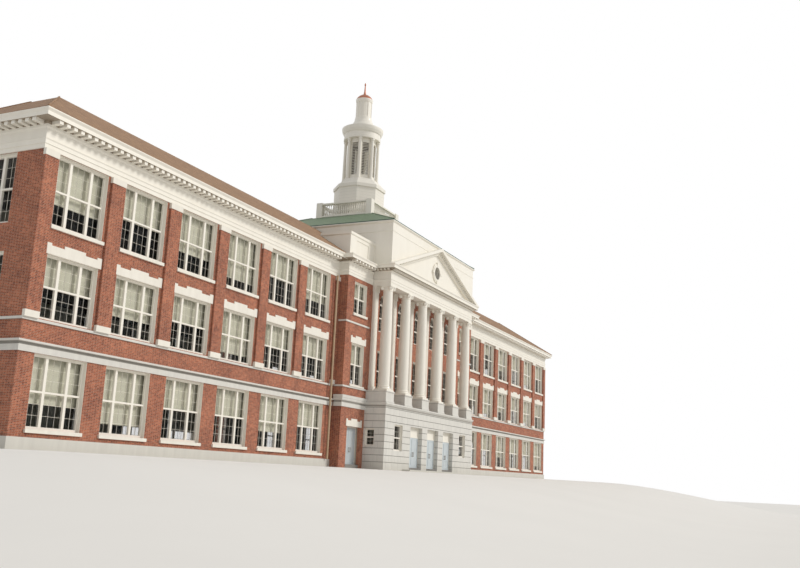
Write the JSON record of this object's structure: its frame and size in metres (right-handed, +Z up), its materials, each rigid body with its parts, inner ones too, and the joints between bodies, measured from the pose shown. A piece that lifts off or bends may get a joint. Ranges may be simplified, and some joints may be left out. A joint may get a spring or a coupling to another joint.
{
  "type": "scale model of a town hall",
  "caption": "Half-size model of a brick town hall: two window wings, six-column portico with pediment, attic block and colonnaded cupola.",
  "frame": {"origin": "on the ground, under the face of the front walls of the wings, at the middle of the building", "axes": "+X along the front to the right as one faces it, +Y from the front to the back, +Z up"},
  "size_m": [39.35, 7.986, 16.79],
  "materials": {
    "brick": "red-brown mottled brick with pale joints",
    "stone": "pale dressed limestone",
    "white_woodwork": "cream white paint on woodwork",
    "window_glass": "clear sheet glass with pale blinds behind",
    "concrete": "plain floor slab",
    "slate": "brown roofing slate",
    "green_copper": "standing seam copper with green patina",
    "brown_copper": "brown weathered sheet copper",
    "door_paint": "pale painted door",
    "pipe_metal": "painted rainwater pipe"
  },
  "bodies": {
    "building": {"ground_floor": "concrete", "second_floor": "concrete", "third_floor": "concrete", "attic_floor": "concrete", "left_wing_wall": "brick", "right_wing_wall": "brick", "wing_end_walls": "brick", "rear_wing_walls": "brick", "rear_centre_wall": "brick", "flank_walls": "brick", "flank_piers": "brick", "portico_wall": "brick", "base_walls": "stone", "base_lintel": "stone", "base_cornice": "stone", "entrance_step": "stone", "column_blocks": "stone", "portico_columns": "white_woodwork", "portico_pilasters": "white_woodwork", "portico_entablature": "white_woodwork", "pediment": "white_woodwork", "oculus_ring": "white_woodwork", "attic_walls": "white_woodwork", "attic_roof": "green_copper", "roof_balustrade": "white_woodwork", "cupola_base": "white_woodwork", "cupola_drum": "white_woodwork", "cupola_ring": "white_woodwork", "lantern": "white_woodwork", "cupola_dome": "brown_copper", "wing_roofs": "slate", "wing_entablature": "white_woodwork", "flank_entablatures": "white_woodwork", "flank_parapets": "white_woodwork", "cornice_blocks": "white_woodwork", "stone_belts": "stone", "window_sills": "stone", "wing_pilasters": "brick", "wing_window_frames": "white_woodwork", "rear_window_frames": "white_woodwork", "centre_window_frames": "white_woodwork", "ground_glass": "window_glass", "second_glass": "window_glass", "third_glass": "window_glass", "door_frames": "white_woodwork", "fixed_side_door": "door_paint", "downpipes": "pipe_metal"},
    "entrance_1_left_leaf": {"entrance_1_left_leaf": "door_paint"},
    "entrance_1_right_leaf": {"entrance_1_right_leaf": "door_paint"},
    "entrance_2_left_leaf": {"entrance_2_left_leaf": "door_paint"},
    "entrance_2_right_leaf": {"entrance_2_right_leaf": "door_paint"},
    "entrance_3_left_leaf": {"entrance_3_left_leaf": "door_paint"},
    "entrance_3_right_leaf": {"entrance_3_right_leaf": "door_paint"},
    "side_door_left_leaf": {"side_door_left_leaf": "door_paint"},
    "side_door_right_leaf": {"side_door_right_leaf": "door_paint"}
  },
  "joints": [
    {"name": "entrance_1_left_hinge", "type": "hinge", "parent": "building", "child": "entrance_1_left_leaf", "pos_m": [-2.065, -1.057, 0.16], "axis": [0, 0, -1], "range_deg": [0, 90]},
    {"name": "entrance_1_right_hinge", "type": "hinge", "parent": "building", "child": "entrance_1_right_leaf", "pos_m": [-1.075, -1.057, 0.16], "axis": [0, 0, 1], "range_deg": [0, 90]},
    {"name": "entrance_2_left_hinge", "type": "hinge", "parent": "building", "child": "entrance_2_left_leaf", "pos_m": [-0.495, -1.057, 0.16], "axis": [0, 0, -1], "range_deg": [0, 90]},
    {"name": "entrance_2_right_hinge", "type": "hinge", "parent": "building", "child": "entrance_2_right_leaf", "pos_m": [0.495, -1.057, 0.16], "axis": [0, 0, 1], "range_deg": [0, 90]},
    {"name": "entrance_3_left_hinge", "type": "hinge", "parent": "building", "child": "entrance_3_left_leaf", "pos_m": [1.075, -1.057, 0.16], "axis": [0, 0, -1], "range_deg": [0, 90]},
    {"name": "entrance_3_right_hinge", "type": "hinge", "parent": "building", "child": "entrance_3_right_leaf", "pos_m": [2.065, -1.057, 0.16], "axis": [0, 0, 1], "range_deg": [0, 90]},
    {"name": "side_door_left_hinge", "type": "hinge", "parent": "building", "child": "side_door_left_leaf", "pos_m": [-5.4575, -0.227, 0.16], "axis": [0, 0, -1], "range_deg": [0, 90]},
    {"name": "side_door_right_hinge", "type": "hinge", "parent": "building", "child": "side_door_right_leaf", "pos_m": [-4.5925, -0.227, 0.16], "axis": [0, 0, 1], "range_deg": [0, 90]}
  ]
}
